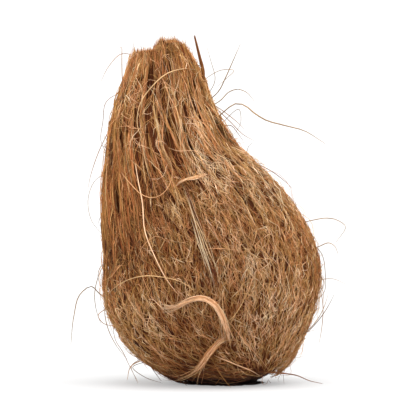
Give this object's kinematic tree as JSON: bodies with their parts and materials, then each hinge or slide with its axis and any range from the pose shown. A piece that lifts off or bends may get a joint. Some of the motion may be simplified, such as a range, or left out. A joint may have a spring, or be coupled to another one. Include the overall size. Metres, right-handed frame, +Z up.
{
  "type": "coconut",
  "caption": "Semi-husked coconut in a coat of brown coir, standing on its flattened blossom end, with a cut tuft of long fibres leaning from the stem end.",
  "frame": {"origin": "middle of the flat spot that the coconut stands on", "axes": "+Z up towards the tuft, +X to the right as the front is seen, -Y towards the front"},
  "size_m": [0.1379, 0.1132, 0.1744],
  "materials": {
    "coir": "matt, dry, fibrous"
  },
  "bodies": {
    "root": {"coconut": "coir"}
  },
  "joints": []
}
